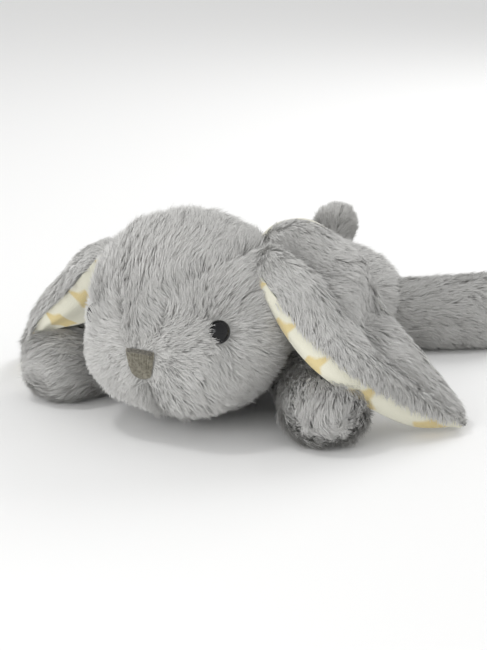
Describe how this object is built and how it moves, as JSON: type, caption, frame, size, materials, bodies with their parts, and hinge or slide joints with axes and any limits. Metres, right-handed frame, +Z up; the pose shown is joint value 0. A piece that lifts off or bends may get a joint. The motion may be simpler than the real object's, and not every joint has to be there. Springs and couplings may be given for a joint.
{
  "type": "plush rabbit",
  "caption": "Lop-eared plush rabbit lying flat on its belly, fur cloth panels over fibre stuffing, with lined drop ears, splayed legs and a puff tail that turn at their sewn roots.",
  "frame": {"origin": "middle of the footprint, on the surface that the toy lies on", "axes": "+Z up, the toy faces -Y, +X towards its own left"},
  "size_m": [0.2766, 0.2704, 0.107],
  "materials": {
    "fur": "long soft pile, cool grey",
    "ear_lining": "short velour, cream with ochre stars",
    "nose_stitch": "satin stitch embroidery, taupe",
    "eye": "polished black dome",
    "washer": "moulded, natural",
    "stuffing": "loose polyester fibre",
    "label": "woven ribbon, blank"
  },
  "bodies": {
    "torso": {"belly_panel": "fur", "back_panel_left": "fur", "back_panel_right": "fur", "torso_stuffing": "stuffing", "care_label": "label"},
    "head": {"head_gusset": "fur", "head_side_left": "fur", "head_side_right": "fur", "head_stuffing": "stuffing", "nose": "nose_stitch", "eye_left": "eye", "eye_right": "eye", "eye_washer_left": "washer", "eye_washer_right": "washer"},
    "tail": {"tail_cover": "fur", "tail_stuffing": "stuffing"},
    "ear_left": {"ear_outer_left": "fur", "ear_lining_left": "ear_lining"},
    "front_leg_left": {"front_leg_left_top": "fur", "front_leg_left_under": "fur", "front_leg_left_stuffing": "stuffing"},
    "hind_leg_left": {"hind_leg_left_top": "fur", "hind_leg_left_under": "fur", "hind_leg_left_stuffing": "stuffing"},
    "ear_right": {"ear_outer_right": "fur", "ear_lining_right": "ear_lining"},
    "front_leg_right": {"front_leg_right_top": "fur", "front_leg_right_under": "fur", "front_leg_right_stuffing": "stuffing"},
    "hind_leg_right": {"hind_leg_right_top": "fur", "hind_leg_right_under": "fur", "hind_leg_right_stuffing": "stuffing"}
  },
  "joints": [
    {"name": "neck_nod", "type": "hinge", "parent": "torso", "child": "head", "pos_m": [0, -0.062, 0.05], "axis": [-1, 0, 0], "range_deg": [0, 14], "stiffness_Nm_per_rad": 0.15},
    {"name": "ear_left_lift", "type": "hinge", "parent": "head", "child": "ear_left", "pos_m": [0.04, -0.073, 0.089], "axis": [0, -1, 0], "range_deg": [0, 100]},
    {"name": "front_leg_left_swing", "type": "hinge", "parent": "torso", "child": "front_leg_left", "pos_m": [0.046, -0.03, 0.02], "axis": [0, 0, 1], "range_deg": [-10, 6], "stiffness_Nm_per_rad": 0.03},
    {"name": "hind_leg_left_swing", "type": "hinge", "parent": "torso", "child": "hind_leg_left", "pos_m": [0.045, 0.084, 0.02], "axis": [0, 0, 1], "range_deg": [-12, 12], "stiffness_Nm_per_rad": 0.03},
    {"name": "ear_right_lift", "type": "hinge", "parent": "head", "child": "ear_right", "pos_m": [-0.04, -0.073, 0.089], "axis": [0, 1, 0], "range_deg": [0, 100]},
    {"name": "front_leg_right_swing", "type": "hinge", "parent": "torso", "child": "front_leg_right", "pos_m": [-0.046, -0.03, 0.02], "axis": [0, 0, -1], "range_deg": [-10, 6], "stiffness_Nm_per_rad": 0.03},
    {"name": "hind_leg_right_swing", "type": "hinge", "parent": "torso", "child": "hind_leg_right", "pos_m": [-0.045, 0.084, 0.02], "axis": [0, 0, -1], "range_deg": [-12, 12], "stiffness_Nm_per_rad": 0.03},
    {"name": "tail_wag", "type": "hinge", "parent": "torso", "child": "tail", "pos_m": [0, 0.1, 0.056], "axis": [1, 0, 0], "range_deg": [-25, 25], "stiffness_Nm_per_rad": 0.004}
  ]
}
